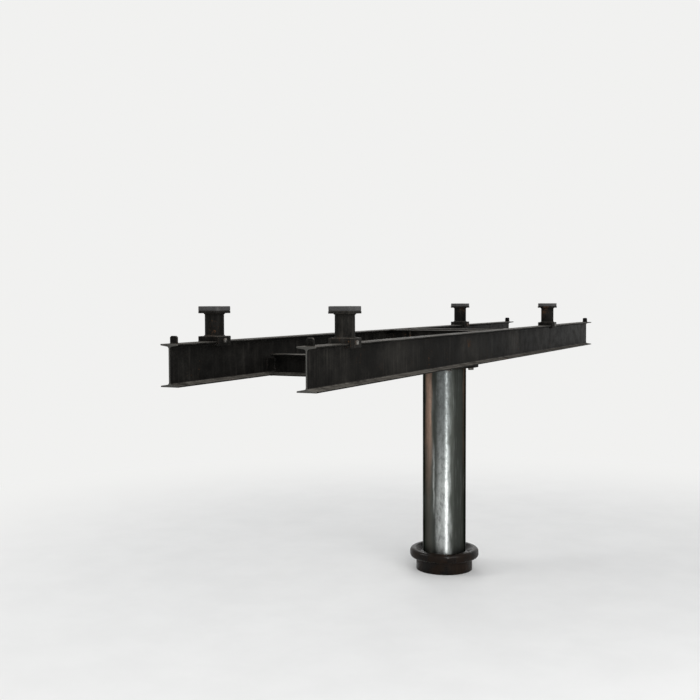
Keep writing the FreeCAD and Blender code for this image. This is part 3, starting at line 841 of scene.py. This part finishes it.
class LIFT_OT_ram(LiftOperator):
    """Make the ram, its head weld and the head bolts"""

    bl_idname = "wash_lift.ram"
    bl_label = "Ram and head"

    ram_wall = 0.0125
    bolt_count = 6
    bolt_radius = 0.010
    bolt_gap = 0.0005
    bolt_distance = 0.037
    thread_pitch = 0.0025
    plain_share = 0.4
    tip_gap = 0.001
    washer_radius = 0.0185
    washer_height = 0.003

    def execute(self, context):
        """The bolts come up through the head flange into the saddle plate."""
        ram = Box("ram_tube")
        foot, top = ram.low[2], ram.high[2]
        inside = RAM_RADIUS - self.ram_wall
        tube = [(inside, foot), (RAM_RADIUS, foot), (RAM_RADIUS, top), (inside, top)]
        make_piece("ram", [revolved(tube, [0.001] * 4, steps=256)], "Ram steel", "ram_and_frame",
                   ["ram_tube"])
        weld = ring_bead(UP * top, RAM_RADIUS, sizes().head_weld, upwards=-1)
        make_frame_piece("ram_head_weld", [weld], "Weld paint")
        grip = Box("saddle_plate").high[2] - top + self.washer_height
        hole = self.bolt_radius + self.bolt_gap
        washer = [(hole, 0), (self.washer_radius, 0), (self.washer_radius, self.washer_height),
                  (hole, self.washer_height)]
        bolts = []
        plain = grip * self.plain_share
        shank = threaded_shank(self.bolt_radius, plain, grip - plain - self.tip_gap, self.thread_pitch)
        circle = RAM_RADIUS + self.bolt_distance
        for seat in around(circle, full_turn(self.bolt_count), top - self.washer_height):
            bolts.append(stood(revolved(washer, [0.0004] * 4, steps=48), seat, UP))
            bolts.append(stood(hexagon_head(sizes().bolt_width, sizes().bolt_height), seat, -UP))
            bolts.append(stood(shank, seat, UP))
        make_frame_piece("head_bolts", bolts, "Plated steel")
        refinish("Frame paint", "ram_head_flange", "saddle_plate")
        return {"FINISHED"}


class LIFT_OT_frame(LiftOperator):
    """Make the rolled beams, stiffeners and stop lugs"""

    bl_idname = "wash_lift.frame"
    bl_label = "Frame"

    stiffener_corner = 0.018
    stop_bevel = 0.006

    def execute(self, context):
        """Each beam is its section carried from end to end; cross-beams end in tongues of bare web."""
        for side in SIDES:
            box = Box(f"{side}_beam")
            beam = self.rolled(box, box.reach(ALONG), -ACROSS)
            make_frame_piece(f"{side}_rolled_beam", [beam], "Long beam paint", [f"{side}_beam"])
        for end in ENDS:
            for kind in ("cross", "saddle"):
                node = f"{end}_{kind}_beam"
                make_frame_piece(f"{end}_{kind}_rolled_beam", self.coped(Box(node)), replaces=[node])
        for end in ENDS:
            for side in SIDES:
                node = f"{end}_{side}_stiffener"
                make_frame_piece(f"{node}_plate", [self.stiffener(Box(node))], replaces=[node])
                node = f"{end}_{side}_stop"
                make_frame_piece(f"{node}_lug", [self.stop(Box(node))], replaces=[node])
        return {"FINISHED"}

    def rolled(self, box, reach, across):
        """A bar with tapered flanges, that reaches both ways from the middle of a box."""
        depth = box.size[2]
        # A little over the edge round, so that the inset outline keeps a radius at its outer corners
        outer_round = sizes().edge_round * 1.05
        quarter = [(FLANGE_HALF, depth / 2, outer_round),
                   (FLANGE_HALF, flange_inside(FLANGE_HALF, depth), sizes().toe_round),
                   (WEB_HALF, flange_inside(WEB_HALF, depth), sizes().root_round)]
        turns = [(1, 1, quarter[::-1]), (-1, 1, quarter), (-1, -1, quarter[::-1]), (1, -1, quarter)]
        corners = [(x * a, y * b) for a, b, part in turns for x, y, _ in part]
        radii = [radius for _, _, part in turns for _, _, radius in part]
        return extruded(corners, radii, box.middle, reach, across, UP, sizes().edge_round, steps=8)

    def coped(self, box):
        """A rolled bar as far as the long beams' flanges, with a tongue of web at either end."""
        flange_tip = LONG_BEAM.low[0]
        cope = cope_height(box.size[2])
        web = [(-WEB_HALF, -cope), (WEB_HALF, -cope), (WEB_HALF, cope), (-WEB_HALF, cope)]
        inner, outer = flange_tip - 2 * sizes().edge_round, box.high[0]
        surfaces = [self.rolled(box, ACROSS * flange_tip, ALONG)]
        for side in (-1, 1):
            middle, reach = (ACROSS * side * (outer + way * inner) / 2 for way in (1, -1))
            surfaces.append(extruded(web, [0.0003] * 4, box.middle + middle, reach,
                                     ALONG * side, UP, 0.0002))
        return surfaces

    def stiffener(self, box):
        """A plate between the flanges, with its inner corners cut off."""
        depth, outwards = LONG_BEAM.size[2], ALONG * np.sign(box.middle)
        outer, cut = WEB_HALF + box.size[1], WEB_HALF + self.stiffener_corner
        half = [(WEB_HALF, flange_inside(WEB_HALF, depth) - self.stiffener_corner),
                (cut, flange_inside(cut, depth)), (outer, flange_inside(outer, depth))]
        corners = half[::-1] + [(x, -y) for x, y in half]
        beam_middle = box.middle - outwards * (box.size / 2 + WEB_HALF)
        return extruded(corners, [0.0008] * 6, beam_middle, box.reach(ACROSS), outwards, UP, 0.0006)

    def stop(self, box):
        """A lug with bevelled shoulders."""
        half, height, bevel = box.size[0] / 2, box.size[2], self.stop_bevel
        corners = [(-half, 0), (half, 0), (half, height - bevel), (half - bevel, height),
                   (bevel - half, height), (-half, height - bevel)]
        radii = [0.0012] * 2 + [0.003] * 4
        return extruded(corners, radii, box.foot, box.reach(-ALONG), ACROSS, UP, 0.001)


class LIFT_OT_frame_welds(LiftOperator):
    """Lay the weld beads of the frame"""

    bl_idname = "wash_lift.frame_welds"
    bl_label = "Frame welds"

    crown_height = 0.0018
    flange_end_gap = 0.003
    plate_end_gap = 0.012
    stiffener_reach = 0.058

    def execute(self, context):
        """Beads join cross-beams, saddle plate, stiffeners and stop lugs to the beams."""
        for end in ENDS:
            cross, saddle = (Box(f"{end}_{kind}_beam") for kind in ("cross", "saddle"))
            beads = {
                "cross_beam": self.cross_beam_beads(cross),
                "saddle_beam": self.cross_beam_beads(saddle),
                "saddle_plate": self.saddle_plate_beads(saddle),
            }
            for side in SIDES:
                beads[f"{side}_stiffener"] = self.stiffener_beads(Box(f"{end}_{side}_stiffener"))
                beads[f"{side}_stop"] = self.stop_beads(Box(f"{end}_{side}_stop"))
            for word, surfaces in beads.items():
                make_frame_piece(f"{end}_{word}_welds", surfaces, "Weld paint")
        return {"FINISHED"}

    def cross_beam_beads(self, box):
        """Upright beads on both faces of the web, and a crown across each joint of two flanges."""
        leg = sizes().plate_weld
        web_reach = UP * (cope_height(box.size[2]) - leg)
        crown_reach = ALONG * (box.size[1] / 2 - self.flange_end_gap)
        beads = []
        for side in (-1, 1):
            for face in (-1, 1):
                root = np.array((side * box.high[0], box.middle[1] + face * WEB_HALF, box.middle[2]))
                beads.append(straight_bead(root, web_reach, -ACROSS * side * leg, ALONG * face * leg))
            for level, way in box.faces(2):
                if way < 0 or level > BEAM_TOP - leg:
                    joint = np.array((side * LONG_BEAM.low[0], box.middle[1], level))
                    crown = UP * way * self.crown_height
                    beads.append(straight_bead(joint, crown_reach, ACROSS * sizes().butt_weld, crown, np.pi))
        return beads

    def saddle_plate_beads(self, box):
        """Beads along those edges of a saddle beam's bottom flange that lie on the plate."""
        plate, leg = Box("saddle_plate").high, sizes().plate_weld
        reach = ACROSS * (plate[0] - self.plate_end_gap)
        return [straight_bead(ALONG * edge + UP * plate[2], reach, ALONG * outwards * leg, UP * leg)
                for edge, outwards in box.faces(1) if abs(edge) < plate[1] - leg]

    def stiffener_beads(self, box):
        """Upright beads where the plate meets the web, on both of its faces."""
        leg, outwards = sizes().plate_weld, ALONG * np.sign(box.middle)
        root, reach = box.middle - box.reach(outwards), UP * self.stiffener_reach
        return [straight_bead(root + box.reach(way), reach, way * leg, outwards * leg)
                for way in (-ACROSS, ACROSS)]

    def stop_beads(self, box):
        """Beads on all four sides of a lug's foot."""
        leg = sizes().stop_weld
        sides = ((-ALONG, ACROSS), (ALONG, ACROSS), (-ACROSS, ALONG), (ACROSS, ALONG))
        return [straight_bead(box.foot + box.reach(way), box.reach(run), way * leg, UP * leg)
                for way, run in sides]


class LIFT_OT_pads(LiftOperator):
    """Make the four pad adapters with their screws and welds"""

    bl_idname = "wash_lift.pads"
    bl_label = "Pad adapters"

    cheek_thickness = 0.007
    lip_thickness = 0.008
    lip_reach = 0.020
    plate_corner = 0.014
    rubber_corner = 0.014
    screw_rise = 0.004

    def execute(self, context):
        """A shoe, a post, a plate and a rubber block, in the order of their stacking."""
        for pad in PADS:
            nodes = [f"{pad}_{word}" for word in ("shoe", "post", "head_plate", "rubber")]
            shoe, post, plate, rubber = map(Box, nodes)
            radius, leg = post.size[0] / 2, sizes().plate_weld
            rings = [ring_bead(post.middle + post.reach(UP * way), radius, leg, -way) for way in (-1, 1)]
            pieces = [
                ("hooked_shoe", [self.shoe(shoe)], "Pad paint", "pad_paint", "shoe"),
                ("round_post", [round_bar(post, edge=0.0005)], "Pad paint", "pad_paint", "post"),
                ("post_welds", rings, "Weld paint", "pad_paint", None),
                ("top_plate", [self.top_plate(plate)], "Pad paint", "pad_paint", "head_plate"),
                ("rubber_block", studded_block(rubber, self.rubber_corner, edge=0.003), "Pad rubber",
                 "pad_rubber", "rubber"),
                ("cheek_screws", self.cheek_screws(shoe), "Plated steel", "pad_paint", None),
            ]
            for word, surfaces, finish, slot, node in pieces:
                make_piece(f"{pad}_{word}", surfaces, finish, pad, [f"{pad}_{node}"] if node else ())
        return {"FINISHED"}

    def shoe(self, box):
        """A channel that hooks under both edges of the flange."""
        outside = box.size[0] / 2
        inside = outside - self.cheek_thickness
        lip_end = inside - self.lip_reach
        bottom, top, seat = np.array((box.low[2], box.high[2], BEAM_TOP)) - box.middle[2]
        lip = bottom + self.lip_thickness
        half = [(outside, bottom), (outside, top)]
        hook = [(lip_end, bottom), (lip_end, lip), (inside, lip), (inside, seat)]
        corners = half + [(-x, y) for x, y in half[::-1] + hook] + hook[::-1]
        radii = [0.003] * 4 + [0.0012] * 2 + [0.0006] * 4 + [0.0012] * 2
        return extruded(corners, radii, box.middle, box.reach(-ALONG), ACROSS, UP, 0.001)

    def top_plate(self, box):
        """A square plate with its corners cut off."""
        half = box.size[0] / 2
        cut = half - self.plate_corner
        corners = [(half, -cut), (half, cut), (cut, half), (-cut, half), (-half, cut), (-half, -cut),
                   (-cut, -half), (cut, -half)]
        return extruded(corners, [0.002] * 8, box.middle, box.reach(UP), ACROSS, ALONG, 0.001)

    def cheek_screws(self, box):
        """A six-sided screw in the middle of each cheek, which holds the shoe on the flange."""
        head = hexagon_head(sizes().screw_width, sizes().screw_height)
        return [stood(head, (cheek, box.middle[1], BEAM_TOP + self.screw_rise), ACROSS * side)
                for cheek, side in box.faces(0)]


class LIFT_OT_stage(LiftOperator):
    """Set up the floor, the backdrop, the lamps and the camera"""

    bl_idname = "wash_lift.stage"
    bl_label = "Stage"

    camera_place = (2.1196, -5.6380, 1.5993)
    camera_aim = (-0.43739, 0.89927, -0.04859)
    camera_roll = -0.0033
    focal_length = 52.09
    # Name, place, aim, width, height and power of each lamp
    lamps = (
        ("key_lamp", (4.83, -4.35, 3.2), (0, 0, 0.9), 6.0, 4.4, 300),
        ("strip_lamp", (4.26, -6.77, 0.9), (0, 0, 0.4), 0.55, 1.7, 100),
        ("fill_lamp", (-5.6, -3.4, 4.2), (0, 0, 0.9), 3.0, 3.0, 110),
        ("back_lamp", (-2.5, 6.5, 5.0), (0, 0, 1.0), 4.0, 2.0, 150),
    )
    sky = (0.95, 0.97, 1.0, 1.0)
    sky_strength = 0.62
    floor_rings = (0.5, 2, 5, 10, 20, 40, 60)
    floor_spokes = 64

    def execute(self, context):
        """Everything round the object."""
        self.make_floor()
        self.make_world(context.scene)
        for name, place, aim, width, height, power in self.lamps:
            lamp = bpy.data.lights.new(name, "AREA")
            lamp.shape = "RECTANGLE"
            lamp.size, lamp.size_y, lamp.energy = width, height, power
            self.aimed(name, lamp, place, Vector(aim) - Vector(place)).visible_camera = False
        camera = bpy.data.cameras.new("camera")
        camera.lens = self.focal_length
        camera.clip_end = 200
        aim = Vector(self.camera_aim)
        context.scene.camera = self.aimed("camera", camera, self.camera_place, aim, self.camera_roll)
        context.scene.view_settings.view_transform = "Standard"
        return {"FINISHED"}

    def aimed(self, name, data, place, direction, roll=0.0):
        """A lamp or camera at a place, looking along a direction, and turned a little about it."""
        thing = new_object(name, data)
        thing.location = place
        turn = direction.to_track_quat("-Z", "Y") @ Quaternion((0, 0, 1), roll)
        thing.rotation_euler = turn.to_euler()
        return thing

    def make_floor(self):
        """A disc of rings and spokes; further out its finish turns into the backdrop's plain colour."""
        rings = np.array(self.floor_rings)[:, None]
        points, faces = skin(around(rings, full_turn(self.floor_spokes), 0.0))
        faces = [face[::-1] for face in faces] + [list(range(self.floor_spokes))]
        mesh = bpy.data.meshes.new("floor")
        mesh.from_pydata(points.tolist(), [], faces)
        new_object("floor", mesh)
        tree = new_finish("Studio floor")
        pale = shade("floor")
        deeper = (*(0.965 * part for part in pale[:3]), 1)
        mottle = tree.patches(0.3, 0.7, scale=3, detail=7, roughness=0.6)
        shader = tree.add("ShaderNodeBsdfPrincipled", {
            "Base Color": tree.mix(mottle, pale, deeper), "Roughness": 0.9, "Specular IOR Level": 0.05})
        plain = tree.add("ShaderNodeEmission", {"Color": "backdrop", "Strength": 1})
        far = tree.ramp(tree.vector("LENGTH", tree.place), 1.5, 4.5)
        surface = tree.add("ShaderNodeMixShader", {0: far, 1: shader.outputs[0], 2: plain.outputs[0]})
        tree.add("ShaderNodeOutputMaterial", {"Surface": surface.outputs[0]})
        mesh.materials.append(bpy.data.materials["Studio floor"])

    def make_world(self, scene):
        """Soft light from all round, and a plain backdrop for what is seen or mirrored."""
        world = bpy.data.worlds.new("studio")
        world.use_nodes = True
        world.node_tree.nodes.clear()
        scene.world = world
        tree = Tree(world.node_tree)
        rays = tree.add("ShaderNodeLightPath").outputs
        seen = tree.most(rays["Is Camera Ray"], rays["Is Glossy Ray"], rays["Is Transmission Ray"])
        light = tree.add("ShaderNodeBackground", {"Color": self.sky, "Strength": self.sky_strength})
        plain = tree.add("ShaderNodeBackground", {"Color": "backdrop", "Strength": 1})
        surface = tree.add("ShaderNodeMixShader", {0: seen, 1: light.outputs[0], 2: plain.outputs[0]})
        tree.add("ShaderNodeOutputWorld", {"Surface": surface.outputs[0]})


OPERATORS = (LIFT_OT_finishes, LIFT_OT_collar, LIFT_OT_ram, LIFT_OT_frame, LIFT_OT_frame_welds, LIFT_OT_pads,
             LIFT_OT_stage)


class LIFT_PT_panel(bpy.types.Panel):
    """The lift's operators, sizes and colours."""

    bl_idname = "LIFT_PT_panel"
    bl_label = "Wash Lift"
    bl_space_type = "VIEW_3D"
    bl_region_type = "UI"
    bl_category = "Wash Lift"

    def draw(self, context):
        """One button for each operator, then every size and colour."""
        for operator in OPERATORS:
            self.layout.operator(operator.bl_idname)
        for group in (context.scene.lift_sizes, context.scene.lift_colours):
            for word in group.__annotations__:
                self.layout.prop(group, word)


CLASSES = (LiftSizes, LiftColours, *OPERATORS, LIFT_PT_panel)


def register():
    """Registers the classes and hangs the sizes and colours on the scene."""
    for part in CLASSES:
        bpy.utils.register_class(part)
    bpy.types.Scene.lift_sizes = PointerProperty(type=LiftSizes)
    bpy.types.Scene.lift_colours = PointerProperty(type=LiftColours)


def unregister():
    """Takes back what register did."""
    del bpy.types.Scene.lift_colours
    del bpy.types.Scene.lift_sizes
    for part in reversed(CLASSES):
        bpy.utils.unregister_class(part)


def main():
    """Registers the add-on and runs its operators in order."""
    register()
    for operator in OPERATORS:
        group, word = operator.bl_idname.split(".")
        getattr(getattr(bpy.ops, group), word)()


if __name__ == "__main__":
    main()
